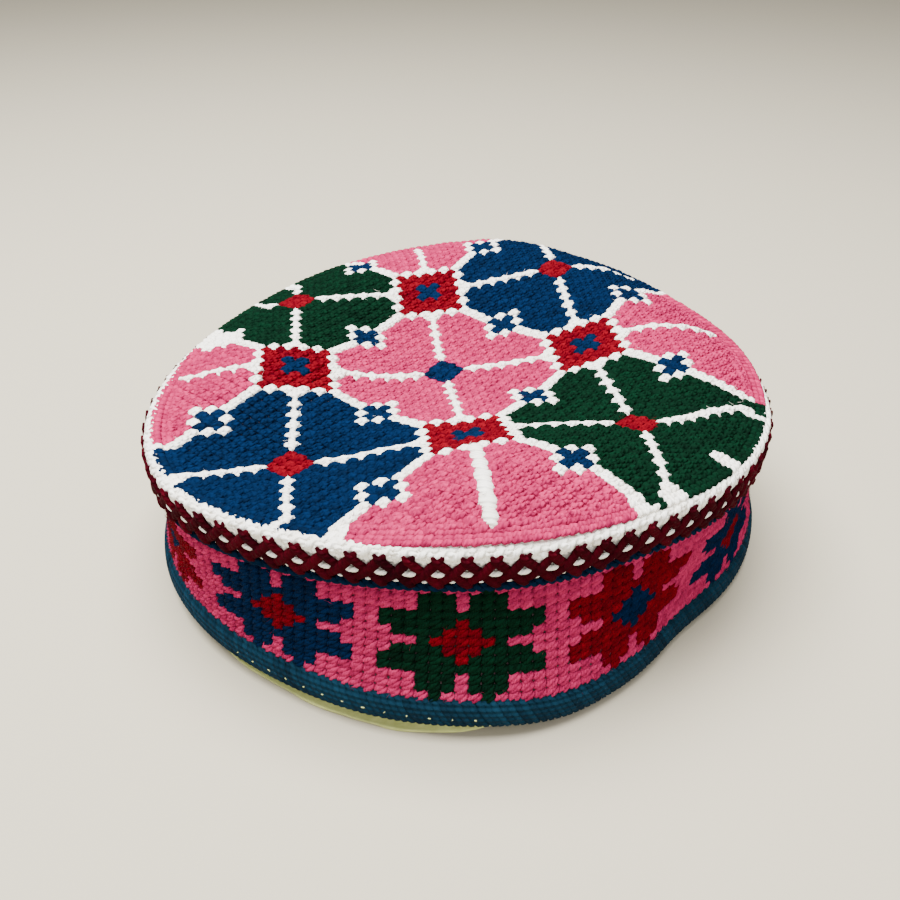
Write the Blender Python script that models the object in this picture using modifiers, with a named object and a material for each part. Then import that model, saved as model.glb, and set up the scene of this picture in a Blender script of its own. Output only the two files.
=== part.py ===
"""Round Hunza cap: a puffed cross-stitched crown on a low side band, resting on its hem.

Metres, +Z up. The origin lies on the resting surface under the middle of the cap,
and the front of the cap faces -Y.
"""
import math
from collections import namedtuple

import bpy

# Overall sizes
RIM_RADIUS = 0.095
RIM_HEIGHT = 0.0532
RIM_TILT = 0.0024
CROWN_PUFF = 0.0090
CREASE_DEPTH = 0.0022
DENT_DEPTH = 0.0040

# Cloth and trim sizes
CLOTH_WALL = 0.0022
LINING_WALL = 0.0009
BRAID_DIAMETER = 0.0036
ZIGZAG_HEIGHT = 0.0070
ZIGZAG_WALL = 0.0020
CORD_DIAMETER = 0.0018
HEM_HEIGHT = 0.0093
HEM_PROUD = 0.0012
HEM_ROUND = 0.0016
WALL_TUCK = 0.0022
SEAM_GAP = 0.0003
LINING_GAP = 0.0006

# Where the lining has slipped out from under the hem
HEM_LIFT = 0.0026
LIP_SHOW = 0.0034
LIP_ANGLE = -115.0
LIP_HALF_SPAN = 33.0
LIFT_HALF_SPAN = 44.0
SPAN_EDGE = 18.0

# Mesh resolution
SEGMENTS = 72
CROWN_RINGS = 8
BAND_ROWS = 4

# Outline round the cap, counted from +X towards +Y. Rim and hem are shares of
# RIM_RADIUS, and rise is a share of RIM_TILT. Rows are evenly spaced.
Section = namedtuple("Section", "angle rim hem rise")
SECTIONS = (
    Section(-180, 0.980, 1.010, -0.9),
    Section(-160, 1.030, 1.035, -0.8),
    Section(-140, 1.060, 1.045, -0.3),
    Section(-120, 1.017, 1.040, 0.2),
    Section(-100, 0.982, 1.055, 0.7),
    Section(-80, 0.975, 1.050, 1.0),
    Section(-60, 0.962, 0.982, 1.0),
    Section(-40, 0.978, 0.948, 0.7),
    Section(-20, 0.978, 0.985, 0.3),
    Section(0, 0.968, 1.020, -0.1),
    Section(20, 0.962, 1.025, -0.3),
    Section(40, 0.975, 0.995, -0.3),
    Section(60, 1.012, 0.978, -0.1),
    Section(80, 1.045, 1.000, 0.0),
    Section(100, 1.045, 1.040, 0.0),
    Section(120, 0.995, 1.045, -0.1),
    Section(140, 0.950, 1.015, -0.5),
    Section(160, 0.945, 0.995, -0.8),
)

# Swells of the crown: place and spread are shares of RIM_RADIUS, rise of CROWN_PUFF
Swell = namedtuple("Swell", "x y spread rise")
SWELLS = (
    Swell(0.12, 0.85, 0.36, 1.20),
    Swell(0.50, 0.58, 0.35, 0.90),
    Swell(0.75, 0.10, 0.35, 0.85),
    Swell(0.50, -0.55, 0.35, 0.50),
    Swell(0.05, -0.75, 0.35, 0.75),
    Swell(-0.50, -0.50, 0.35, -0.30),
    Swell(-0.75, 0.20, 0.35, 0.38),
    Swell(-0.45, 0.65, 0.35, 0.35),
    Swell(-0.15, 0.10, 0.40, -0.65),
)
CROWN_BASE = 0.12
EDGE_FALL = 14

# Creases across the crown: ends and width are shares of RIM_RADIUS, depth of CREASE_DEPTH
Crease = namedtuple("Crease", "x_from y_from x_to y_to width depth")
CREASES = (
    Crease(-0.52, -0.02, -0.10, 0.03, 0.05, 0.55),
    Crease(-0.44, -0.50, -0.02, -0.42, 0.07, 0.80),
    Crease(-0.02, -0.42, 0.46, -0.36, 0.07, 1.00),
)

# Dents of the side: drop is the share of the way down from rim to hem, the spans are
# in degrees and in shares of that way, and depth is a share of DENT_DEPTH
Dent = namedtuple("Dent", "angle drop angle_span drop_span depth")
DENTS = (
    Dent(-47, 0.75, 9, 0.45, 0.60),
    Dent(-66, 0.45, 8, 0.40, -0.25),
    Dent(-25, 0.35, 9, 0.35, 0.35),
    Dent(-150, 0.50, 12, 0.40, 0.30),
    Dent(60, 0.60, 12, 0.45, 0.45),
    Dent(150, 0.55, 14, 0.40, 0.35),
)

# Cloth colours as linear red, green and blue, with the yarn's roughness
Finish = namedtuple("Finish", "name color roughness")
PINK_STITCH = Finish("pink_wool_stitch", (0.73, 0.13, 0.25), 0.9)
ROSE_STITCH = Finish("rose_wool_stitch", (0.66, 0.10, 0.21), 0.9)
WHITE_BRAID = Finish("white_wool_braid", (0.78, 0.77, 0.70), 0.9)
MAROON_STITCH = Finish("maroon_herringbone", (0.11, 0.004, 0.008), 0.9)
NAVY_CORD = Finish("navy_wool_cord", (0.006, 0.04, 0.12), 0.9)
TEAL_BINDING = Finish("teal_wool_binding", (0.006, 0.045, 0.09), 0.9)
COTTON_LINING = Finish("yellow_cotton_lining", (0.66, 0.72, 0.38), 0.85)


def around(column, angle):
    """Smooth value of one column of SECTIONS at an angle in degrees."""
    step = 360 / len(SECTIONS)
    place = (angle - SECTIONS[0].angle) / step
    first = math.floor(place)
    t = place - first
    rows = [getattr(SECTIONS[(first + k) % len(SECTIONS)], column) for k in (-1, 0, 1, 2)]
    before, here, there, after = rows
    slope_here = (there - before) / 2
    slope_there = (after - here) / 2
    rise = there - here
    return (
        here
        + slope_here * t
        + (3 * rise - 2 * slope_here - slope_there) * t ** 2
        + (slope_here + slope_there - 2 * rise) * t ** 3
    )


def smooth(share):
    """Ease from 0 to 1 with level ends."""
    share = min(max(share, 0.0), 1.0)
    return share * share * (3 - 2 * share)


def turn_between(angle, centre):
    """Degrees between two directions, never more than 180."""
    return abs((angle - centre + 180) % 360 - 180)


def spread_at(angle, half_span):
    """Share of the slipped stretch at an angle: 1 in its middle, 0 past its ends."""
    return smooth((half_span - turn_between(angle, LIP_ANGLE)) / SPAN_EDGE)


def rim_radius(angle):
    """Outer edge of the braid."""
    return RIM_RADIUS * around("rim", angle)


def rim_top(angle):
    """Top of the braid above the resting surface."""
    return RIM_HEIGHT + RIM_TILT * around("rise", angle)


def hem_lift(angle):
    """Height of the hem's underside."""
    return HEM_LIFT * spread_at(angle, LIFT_HALF_SPAN)


def band_bottom(angle):
    """Seam between side band and hem binding, at the band's edge."""
    return hem_lift(angle) + HEM_HEIGHT + SEAM_GAP


def cord_height(angle):
    """Middle of the cord under the zigzag band."""
    drop = BRAID_DIAMETER + SEAM_GAP + ZIGZAG_HEIGHT + SEAM_GAP + CORD_DIAMETER / 2
    return rim_top(angle) - drop


def band_top(angle):
    """Upper edge of the side band."""
    return cord_height(angle) - CORD_DIAMETER / 2 - SEAM_GAP


def dent_at(angle, drop):
    """Depth of the side's dents, inwards."""
    depth = 0.0
    for dent in DENTS:
        across = turn_between(angle, dent.angle) / dent.angle_span
        along = (drop - dent.drop) / dent.drop_span
        depth += dent.depth * math.exp(-across ** 2 - along ** 2)
    return DENT_DEPTH * depth


def wall_radius(angle, height):
    """Outer face of the side band, which flares from under the rim to the hem."""
    top = band_top(angle)
    drop = (top - height) / (top - band_bottom(angle))
    flare = max(drop, 0.0) ** 1.5
    upper = rim_radius(angle) - WALL_TUCK
    lower = RIM_RADIUS * around("hem", angle) - HEM_PROUD
    return upper + (lower - upper) * min(flare, 1.2) - dent_at(angle, drop) * smooth(2 * drop)


def crease_at(x, y):
    """Depth of the crown's creases at a place given in shares of RIM_RADIUS."""
    depth = 0.0
    for crease in CREASES:
        run_x = crease.x_to - crease.x_from
        run_y = crease.y_to - crease.y_from
        along = (x - crease.x_from) * run_x + (y - crease.y_from) * run_y
        along = min(max(along / (run_x ** 2 + run_y ** 2), 0.0), 1.0)
        away = math.hypot(x - crease.x_from - along * run_x, y - crease.y_from - along * run_y)
        depth += crease.depth * math.exp(-((away / crease.width) ** 2))
    return CREASE_DEPTH * depth


def crown_rise(x, y):
    """Height of the crown above its edge at a place given in shares of RIM_RADIUS."""
    rise = CROWN_BASE
    for swell in SWELLS:
        away = math.hypot(x - swell.x, y - swell.y)
        rise += swell.rise * math.exp(-((away / swell.spread) ** 2))
    edge = 1 - min(math.hypot(x, y), 1.0) ** EDGE_FALL
    return edge * (CROWN_PUFF * rise - crease_at(x, y))


def ring_point(angle, radius, height):
    """Point at an angle in degrees round the cap."""
    turn = math.radians(angle)
    return (radius * math.cos(turn), radius * math.sin(turn), height)


def ring_angles():
    """Evenly spaced angles of the mesh."""
    return [360 * k / SEGMENTS - 180 for k in range(SEGMENTS)]


def cloth_material(finish):
    """Principled material of one cloth."""
    material = bpy.data.materials.new(finish.name)
    material.use_nodes = True
    shader = material.node_tree.nodes["Principled BSDF"]
    shader.inputs["Base Color"].default_value = (*finish.color, 1.0)
    shader.inputs["Roughness"].default_value = finish.roughness
    shader.inputs["Metallic"].default_value = 0.0
    material.diffuse_color = (*finish.color, 1.0)
    return material


def add_piece(name, data, finish, collection, parent):
    """Link a named piece with its own material under the cap's empty."""
    piece = bpy.data.objects.new(name, data)
    data.materials.append(cloth_material(finish))
    collection.objects.link(piece)
    piece.parent = parent
    return piece


def mesh_from_rings(name, rings, closed_section=False, middle=None):
    """Mesh lofted through rings of points, each ring running round the cap."""
    points = [point for ring in rings for point in ring]
    count = len(rings[0])
    pairs = len(rings) if closed_section else len(rings) - 1
    faces = []
    for row in range(pairs):
        low = row * count
        high = (row + 1) % len(rings) * count
        for k in range(count):
            following = (k + 1) % count
            faces.append((low + k, low + following, high + following, high + k))
    if middle is not None:
        points.append(middle)
        last = (len(rings) - 1) * count
        for k in range(count):
            faces.append((last + k, last + (k + 1) % count, len(points) - 1))
    mesh = bpy.data.meshes.new(name)
    mesh.from_pydata(points, [], faces)
    mesh.shade_smooth()
    mesh.set_sharp_from_angle(angle=math.radians(50))
    return mesh


def thicken(piece, wall):
    """Give an open surface its wall, on the inner side."""
    solidify = piece.modifiers.new("Wall", "SOLIDIFY")
    solidify.thickness = wall
    solidify.offset = -1.0
    solidify.use_even_offset = True
    return piece


def crown_rings(inset, drop):
    """Rings of a crown surface, whose edge lies inset from the braid's outer edge."""
    rings = []
    for row in range(CROWN_RINGS):
        share = 1 - row / CROWN_RINGS
        ring = []
        for angle in ring_angles():
            radius = (rim_radius(angle) - inset) * share
            x, y, _ = ring_point(angle, radius / rim_radius(angle), 0.0)
            edge = rim_top(angle) * share + RIM_HEIGHT * (1 - share)
            ring.append(ring_point(angle, radius, edge + crown_rise(x, y) - drop))
        rings.append(ring)
    return rings, (0.0, 0.0, RIM_HEIGHT + crown_rise(0.0, 0.0) - drop)


def make_crown(name, finish, wall, drop, collection, parent):
    """Shell of the crown inside the braid, at a depth under the braid's top."""
    inset = BRAID_DIAMETER + SEAM_GAP
    rings, middle = crown_rings(inset, drop)
    mesh = mesh_from_rings(name, rings, middle=middle)
    return thicken(add_piece(name, mesh, finish, collection, parent), wall)


def make_ring_cord(name, finish, diameter, inset, height_at, collection, parent):
    """Round cord that follows the rim, its middle at inset from the rim's outer edge."""
    curve = bpy.data.curves.new(name, "CURVE")
    curve.dimensions = "3D"
    curve.bevel_depth = diameter / 2
    curve.bevel_resolution = 1
    spline = curve.splines.new("POLY")
    spline.points.add(SEGMENTS - 1)
    for point, angle in zip(spline.points, ring_angles()):
        point.co = (*ring_point(angle, rim_radius(angle) - inset, height_at(angle)), 1.0)
    spline.use_cyclic_u = True
    return add_piece(name, curve, finish, collection, parent)


def make_braid(collection, parent):
    """White braid over the seam between crown and zigzag band."""
    return make_ring_cord(
        "rim_braid", WHITE_BRAID, BRAID_DIAMETER, BRAID_DIAMETER / 2,
        lambda angle: rim_top(angle) - BRAID_DIAMETER / 2, collection, parent,
    )


def make_band_cord(collection, parent):
    """Navy cord along the top of the side band."""
    return make_ring_cord(
        "band_cord", NAVY_CORD, CORD_DIAMETER, WALL_TUCK, cord_height, collection, parent,
    )


def add_wall(name, section_at, finish, collection, parent):
    """Closed ring whose section, a loop of radii and heights, changes round the cap."""
    sections = [section_at(angle) for angle in ring_angles()]
    rings = [
        [ring_point(angle, *section[k]) for angle, section in zip(ring_angles(), sections)]
        for k in range(len(sections[0]))
    ]
    mesh = mesh_from_rings(name, rings, closed_section=True)
    return add_piece(name, mesh, finish, collection, parent)


def zigzag_section(angle):
    """Herringbone band under the braid, its foot drawn in towards the cord."""
    top = rim_top(angle) - BRAID_DIAMETER - SEAM_GAP
    outer = [
        (rim_radius(angle) - WALL_TUCK * (0.6 - 0.3 * share), top - ZIGZAG_HEIGHT * (1 - share))
        for share in (0.0, 0.5, 1.0)
    ]
    return outer + [(radius - ZIGZAG_WALL, height) for radius, height in reversed(outer)]


def band_line(angle, inset):
    """Points up the side band, at a depth behind its outer face."""
    low = band_bottom(angle)
    high = band_top(angle)
    heights = [low + (high - low) * row / BAND_ROWS for row in range(BAND_ROWS + 1)]
    return [(wall_radius(angle, height) - inset, height) for height in heights]


def side_section(angle):
    """Cross-stitched wall between the hem binding and the cord."""
    return band_line(angle, 0.0) + list(reversed(band_line(angle, CLOTH_WALL)))


def hem_section(angle):
    """Teal binding that closes the lower edge, flat where it rests."""
    inner = wall_radius(angle, band_bottom(angle)) - CLOTH_WALL
    outer = inner + CLOTH_WALL + HEM_PROUD
    low = hem_lift(angle)
    high = low + HEM_HEIGHT
    return [
        (inner, low),
        (outer - HEM_ROUND, low),
        (outer, low + HEM_ROUND),
        (outer + HEM_PROUD / 3, (low + high) / 2),
        (outer, high - HEM_ROUND),
        (outer - HEM_ROUND, high),
        (inner, high),
    ]


def lining_section(angle):
    """Cotton lining inside the side band, with the lip that shows under the hem."""
    behind = CLOTH_WALL + LINING_GAP
    foot = wall_radius(angle, band_bottom(angle)) - behind
    lip = spread_at(angle, LIP_HALF_SPAN)
    reach = (behind + HEM_PROUD + LIP_SHOW) * lip
    curl = LINING_WALL * (1 - lip)
    drop = LINING_WALL * lip
    top = rim_top(angle) - BRAID_DIAMETER / 4 - CLOTH_WALL - 2 * LINING_GAP - LINING_WALL
    edge = wall_radius(angle, band_top(angle)) - behind
    outer = [
        (foot + reach, LINING_WALL),
        (foot + reach / 2, LINING_WALL + curl),
        (foot, LINING_WALL + 2 * curl),
        *band_line(angle, behind),
        (edge, top),
    ]
    inner = [
        (foot + reach - curl, LINING_WALL - drop),
        (foot + reach / 2 - curl, LINING_WALL + curl - drop),
        (foot - LINING_WALL, LINING_WALL + 2 * curl - drop),
        *band_line(angle, behind + LINING_WALL),
        (edge - LINING_WALL, top),
    ]
    return outer + list(reversed(inner))


def rest_on_origin(pieces, parent):
    """Centre the cap on the origin by its widest points."""
    bpy.context.view_layer.update()
    graph = bpy.context.evaluated_depsgraph_get()
    corners = []
    for piece in pieces:
        evaluated = piece.evaluated_get(graph)
        corners += [piece.matrix_world @ vertex.co for vertex in evaluated.to_mesh().vertices]
        evaluated.to_mesh_clear()
    for axis in range(2):
        values = [corner[axis] for corner in corners]
        parent.location[axis] -= (min(values) + max(values)) / 2
    bpy.context.view_layer.update()


def main():
    """Build the cap."""
    for leftover in list(bpy.data.objects):
        bpy.data.objects.remove(leftover, do_unlink=True)
    collection = bpy.data.collections.new("hunza_cap")
    bpy.context.scene.collection.children.link(collection)
    cap = bpy.data.objects.new("hunza_cap", None)
    collection.objects.link(cap)
    crown_drop = BRAID_DIAMETER / 4
    lining_drop = crown_drop + CLOTH_WALL + LINING_GAP
    pieces = [
        make_crown("crown_panel", PINK_STITCH, CLOTH_WALL, crown_drop, collection, cap),
        make_crown("lining_crown", COTTON_LINING, LINING_WALL, lining_drop, collection, cap),
        make_braid(collection, cap),
        make_band_cord(collection, cap),
        add_wall("zigzag_band", zigzag_section, MAROON_STITCH, collection, cap),
        add_wall("side_band", side_section, ROSE_STITCH, collection, cap),
        add_wall("hem_binding", hem_section, TEAL_BINDING, collection, cap),
        add_wall("lining_wall", lining_section, COTTON_LINING, collection, cap),
    ]
    rest_on_origin(pieces, cap)


main()
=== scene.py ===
"""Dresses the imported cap: woollen cross stitch, rim braid, herringbone border, bound hem and cotton lining.

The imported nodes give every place. Their outer surfaces are read once as smooth skins, and each stitch
is then seated on a skin. Lengths are metres unless a name ends in mm or deg.
"""

from __future__ import annotations

import logging
import math
from dataclasses import dataclass, replace
from enum import Enum

import bmesh
import bpy
import numpy as np
from mathutils import Matrix, Vector
from mathutils.bvhtree import BVHTree

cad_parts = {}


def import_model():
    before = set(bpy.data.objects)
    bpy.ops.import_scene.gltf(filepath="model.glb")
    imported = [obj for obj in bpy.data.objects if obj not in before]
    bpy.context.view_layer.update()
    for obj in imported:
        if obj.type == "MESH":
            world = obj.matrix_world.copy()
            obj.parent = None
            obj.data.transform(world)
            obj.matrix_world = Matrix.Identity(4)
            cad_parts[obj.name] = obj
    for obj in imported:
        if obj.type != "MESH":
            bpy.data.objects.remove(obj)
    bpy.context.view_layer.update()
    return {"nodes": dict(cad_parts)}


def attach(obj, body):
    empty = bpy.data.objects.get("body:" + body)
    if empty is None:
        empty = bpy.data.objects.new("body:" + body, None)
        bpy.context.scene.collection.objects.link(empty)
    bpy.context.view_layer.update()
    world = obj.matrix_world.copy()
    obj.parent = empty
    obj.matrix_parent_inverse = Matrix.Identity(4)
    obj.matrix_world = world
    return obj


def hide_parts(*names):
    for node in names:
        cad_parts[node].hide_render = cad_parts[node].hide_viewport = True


LOG = logging.getLogger("cap")
MM = 0.001
BODY = "root"

# Middle of the cap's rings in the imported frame
AXIS = (-0.394 * MM, 1.109 * MM)

# How finely the skins are read, where the rays start and how far they look
SKIN_ANGLES = 180
SKIN_STEP = 0.2 * MM
SKIN_HARMONICS = 26
CROWN_RINGS = 28
CROWN_PASSES = 3
CROWN_SURE = 80 * MM
CROWN_SHARE = 0.99
RAY_START = 130 * MM
RAY_DEPTH = 60 * MM
RAY_HIGH = 200 * MM
TINY = 1e-6

# Camera and room
CAMERA_PLACE = (-4.67 * MM, -261.47 * MM, 196.13 * MM)
CAMERA_TILT_DEG = 56.5
CAMERA_ROLL_DEG = 0.56
CAMERA_LENS_MM = 38.0
SENSOR_MM = 36.0
FLOOR_SIDE = 6.0
FLOOR_COTTON = "B4AC98"
ROOM_LIGHT = "F2F0EC"
ROOM_STRENGTH = 0.55

# Soft lights: place, side and power
KEY_LIGHT = ((-0.15, 0.02, 0.85), 0.7, 36.0)
FILL_LIGHT = ((0.1, -0.9, 0.6), 1.0, 7.0)
LIGHT_AIM = (0.0, 0.0, 0.03)

RISE = np.array([0.0, 0.0, 1.0])

# Lightness of a swept yarn and its spread
YARN_TONE = 0.5
YARN_SPREAD = 0.2

# Stray hairs for each stitch
FIBRE_SHARE = 0.7
WHITE_FIBRE_SHARE = 0.25


class Wool(Enum):
    """The yarns by colour."""

    PINK = "pink"
    BLUE = "blue"
    GREEN = "green"
    RED = "red"
    WHITE = "white"
    MAROON = "maroon"
    NAVY = "navy"
    TEAL = "teal"


class Region(Enum):
    """The record's material slots, handed with each piece to dress; their names also go into the fibre
    pieces' names.
    """

    CROWN = "crown_stitch"
    SIDE = "side_stitch"
    BRAID = "white_braid"
    ZIGZAG = "maroon_zigzag"
    CORD = "navy_cord"
    BINDING = "teal_binding"
    LINING = "cotton_lining"


@dataclass(frozen=True)
class WoolFinish:
    """Colours and feel of one dyed acrylic or woollen yarn. Light and shade are the ends of its colour range:
    random tone moves between them, and painted shade at stitch ends and undersides pulls towards shade.
    """

    light: str
    shade: str
    sheen: float = 0.0
    roughness: float = 0.88


@dataclass(frozen=True)
class ClothFinish:
    """Colours and weave of a plain cotton cloth."""

    light: str
    shade: str
    thread: float
    depth: float
    roughness: float = 0.93


WOOL = {
    Wool.PINK: WoolFinish("B62C5C", "86193F"),
    Wool.BLUE: WoolFinish("031B3A", "021126"),
    Wool.GREEN: WoolFinish("032314", "02140B"),
    Wool.RED: WoolFinish("6E0414", "44000A"),
    Wool.WHITE: WoolFinish("FFFDF6", "F0EADE", sheen=0.10),
    Wool.MAROON: WoolFinish("40020E", "200006"),
    Wool.NAVY: WoolFinish("031E38", "021424"),
    Wool.TEAL: WoolFinish("142F40", "0A1C28"),
}
# The cloth under the stitches is coloured near black: painted shade for the gaps between the stitches
SHADED_CANVAS = ClothFinish("38242A", "24181E", thread=0.9 * MM, depth=0.10 * MM)
COTTON = ClothFinish("D6DA8A", "B0B664", thread=0.55 * MM, depth=0.07 * MM)


@dataclass(frozen=True)
class StitchSize:
    """Full sizes of one leg of a stitch, and how deep its middle lies under the skin."""

    length: float
    width: float
    height: float
    sink: float
    arch: float


def leg_mm(length: float, width: float, height: float, sink: float, arch: float) -> StitchSize:
    """A leg's sizes from millimetres."""
    return StitchSize(length * MM, width * MM, height * MM, sink * MM, arch * MM)


@dataclass(frozen=True)
class CrownPattern:
    """The crown's cross-stitch lattice, seen from above.

    A rim row is its reach past the crown's edge and its sink. Petals and squares are counted in pitches.
    """

    centre_x: float = -7.1 * MM
    centre_y: float = 4.8 * MM
    turn_deg: float = 7.8
    pitch: float = 4.62 * MM
    repeat: int = 10
    edge_clear: float = 1.9 * MM
    outer_limit: float = 80.0 * MM
    pull_reach: float = 3.4
    top: StitchSize = leg_mm(4.5, 1.5, 1.9, 0.45, 0.75)
    under: StitchSize = leg_mm(5.3, 2.3, 1.8, 0.8, 0.3)
    pad: StitchSize = leg_mm(5.4, 5.0, 1.6, 0.75, 0.2)
    white_top: StitchSize = leg_mm(4.9, 1.5, 1.9, 0.4, 0.75)
    white_under: StitchSize = leg_mm(5.2, 2.5, 1.8, 0.65, 0.3)
    spine: StitchSize = leg_mm(7.0, 2.2, 2.0, 0.35, 0.1)
    wide_spine: StitchSize = leg_mm(7.0, 4.8, 2.2, 0.4, 0.1)
    bold: StitchSize = leg_mm(5.4, 2.1, 2.0, 0.42, 0.6)
    bold_under: StitchSize = leg_mm(5.6, 3.8, 2.0, 0.6, 0.4)
    twin: float = 0.62 * MM
    rim_leg: StitchSize = leg_mm(3.6, 2.2, 1.8, 0.75, 0.4)
    rim_legs: int = 240
    rim_rows_mm: tuple[tuple[float, float], ...] = ((1.5, 0.95), (0.1, 0.8), (-1.5, 0.75), (-3.1, 0.75))
    rim_turn: float = 0.3
    rim_over: float = 0.6 * MM
    rim_back: float = 0.8 * MM
    slant_deg: float = 14.0
    under_slant: float = 0.1
    top_jitter: float = 0.09
    field: float = 110.0 * MM
    petal_near: float = 0.5
    petal_wide: float = 3.5
    petal_sum: float = 9.5
    petal_short: float = 0.7
    square: float = 2.0
    wide_column: int = -1


@dataclass(frozen=True)
class SidePattern:
    """The side band's cross-stitch grid round the cap."""

    columns: int = 180
    rows: int = 13
    repeat: int = 15
    first_deg: float = -90.5
    over_top: float = 0.7 * MM
    under_low: float = 0.3 * MM
    leg: StitchSize = leg_mm(4.3, 1.4, 1.75, 0.5, 0.5)
    under: StitchSize = leg_mm(4.3, 2.1, 1.8, 0.8, 0.5)
    twin: float = 0.55 * MM
    pad: StitchSize = leg_mm(4.4, 3.6, 1.6, 0.72, 0.1)
    lean_deg: float = 36.0


@dataclass(frozen=True)
class Border:
    """The herringbone border, in heights under the rim's top."""

    repeats: int = 85
    ear: float = -1.2 * MM
    first_cross: float = -3.0 * MM
    mid_cross: float = -6.9 * MM
    last_cross: float = -9.9 * MM
    foot: float = -10.9 * MM
    ear_reach: float = 0.18
    yarn: float = 2.8 * MM
    path_points: int = 12
    taper: float = 0.14
    thin: float = 0.35
    lift: float = 0.60 * MM
    weave: float = 0.30 * MM
    flat: float = 0.62
    oval: StitchSize = leg_mm(4.1, 1.6, 1.3, -0.55, 0.3)
    knot: StitchSize = leg_mm(1.8, 0.9, 0.9, 0.1, 0.2)
    scallop: StitchSize = leg_mm(5.0, 2.3, 1.5, 0.15, 0.2)
    scallop_hang: float = 0.42
    scallop_fan: float = 1.6
    scallops: tuple[tuple[float, float], ...] = ((0.0, 1.0), (-0.19, 0.8), (0.19, 0.8))


@dataclass(frozen=True)
class Trim:
    """Braid, cord and binding yarns."""

    braid_pitches: int = 130
    braid_leg: StitchSize = leg_mm(5.2, 2.2, 1.5, 0.45, 0.25)
    braid_tube: float = 1.8 * MM
    braid_tilt: float = 0.5
    braid_girths_deg: tuple[float, ...] = (12.0, 56.0, 100.0, 144.0)
    seam_yarn: float = 2.6 * MM
    seam_drop: float = 2.3 * MM
    seam_out: float = 0.5 * MM
    seam_step: float = 0.8 * MM
    seam_rows: int = 4
    seam_flat: float = 0.8
    cord_drop: float = 12.5 * MM
    cord_radius: float = 1.15 * MM
    cord_turns: int = 130
    cord_steps: int = 10
    cord_ply: float = 1.25
    binding_ribs: int = 330
    binding_yarn: float = 2.35 * MM
    binding_lean_deg: float = 3.2
    binding_flat: float = 0.75
    # Pale specks on the hem's front, painted highlights: count, first angle, step and size
    specks: int = 13
    speck_first_deg: float = -128.0
    speck_step_deg: float = 3.3
    speck: StitchSize = leg_mm(0.7, 0.3, 0.35, -0.4, 0.0)


@dataclass(frozen=True)
class LiningSize:
    """How far the slipped lining shows past the hem."""

    gauge_height: float = 1.6 * MM
    reach: float = 4.0 * MM
    middle_deg: float = -108.0
    half_span_deg: float = 42.0
    show_middle: float = -0.5 * MM
    show_end: float = -4.0 * MM
    ruffle: float = 0.55 * MM
    ruffles: float = 46.0
    ruffle_even: float = 0.6
    ruffle_wander: float = 0.4
    wander_share: float = 0.37


# Colours of the crown's flowers, by (column, row) from the middle flower: petal, centre
CROWN_FLOWERS = {
    (0, 0): (Wool.PINK, Wool.BLUE),
    (-1, -1): (Wool.BLUE, Wool.RED),
    (1, 1): (Wool.BLUE, Wool.RED),
    (1, -1): (Wool.GREEN, Wool.RED),
    (-1, 1): (Wool.GREEN, Wool.RED),
}
CROWN_OUTER_FLOWER = (Wool.PINK, Wool.BLUE)

# Where the hand-worked lattice wanders: (column, row) in motifs -> (right, back) in stitch pitches
CROWN_PULLS = {
    (0.0, 0.0): (0.15, 0.90),
    (-1.0, 0.0): (0.00, 1.20),
    (0.0, 1.0): (0.15, 0.40),
    (0.0, -1.0): (0.15, 0.25),
    (-1.0, 1.0): (0.00, 0.40),
    (-1.0, -1.0): (-0.20, 0.10),
    (1.0, -1.0): (0.25, -0.60),
    (-0.5, -0.5): (0.15, 0.00),
    (0.5, -0.5): (0.05, -0.50),
    (1.5, -0.5): (-0.30, 0.60),
    (1.5, 0.5): (-0.25, 0.90),
    (-1.5, -0.5): (-0.40, 0.25),
    (-0.5, -1.5): (-0.20, -0.60),
    (0.5, -1.5): (0.40, 0.00),
    (-0.5, 1.5): (0.25, 0.90),
    (-1.6, -1.0): (0.00, -1.10),
    (-1.5, 0.0): (0.00, 0.30),
    (-1.0, -1.5): (-0.35, 0.00),
    (1.35, -1.0): (0.00, -0.90),
    (1.8, -1.0): (-0.20, 1.20),
}

# Flowers round the side, in turn: petal, centre
SIDE_FLOWERS = ((Wool.GREEN, Wool.RED), (Wool.RED, Wool.BLUE), (Wool.BLUE, Wool.RED))

# Half of a side flower, mirrored both ways: row -> first and last petal column, last centre column
SIDE_ROWS = {
    6: (2, 2, -1),
    5: (1, 3, -1),
    4: (1, 3, -1),
    3: (0, 6, -1),
    2: (1, 6, 0),
    1: (2, 5, 1),
    0: (3, 3, 2),
}


def linear(code: str) -> tuple[float, float, float, float]:
    """Turns a hex sRGB colour into the linear colour that a shader takes.

    Args:
        code: six hex digits.
    Returns:
        Red, green, blue and 1.
    """
    parts = [int(code[i : i + 2], 16) / 255 for i in (0, 2, 4)]
    out = [c / 12.92 if c <= 0.04045 else ((c + 0.055) / 1.055) ** 2.4 for c in parts]
    return (out[0], out[1], out[2], 1.0)


def low_pass(values: np.ndarray, keep: int) -> np.ndarray:
    """Smooths values round a ring by dropping the finer waves along the first axis."""
    waves = np.fft.rfft(values, axis=0)
    waves[keep:] = 0
    return np.fft.irfft(waves, n=values.shape[0], axis=0)


def unit(v: np.ndarray) -> np.ndarray:
    """Vectors scaled to length one along the last axis."""
    return v / np.linalg.norm(v, axis=-1, keepdims=True)


def around(count: int) -> np.ndarray:
    """Angles spaced evenly round the cap, in radians."""
    return np.arange(count) * 2 * math.pi / count


def plan(reach: np.ndarray, angle: np.ndarray) -> tuple[np.ndarray, np.ndarray]:
    """Place in the plan at a radius and an angle from the cap's axis."""
    return AXIS[0] + reach * np.cos(angle), AXIS[1] + reach * np.sin(angle)


def radial(angle: np.ndarray) -> np.ndarray:
    """Level directions at angles in radians from +X."""
    return np.stack([np.cos(angle), np.sin(angle), 0 * angle], -1)


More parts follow.
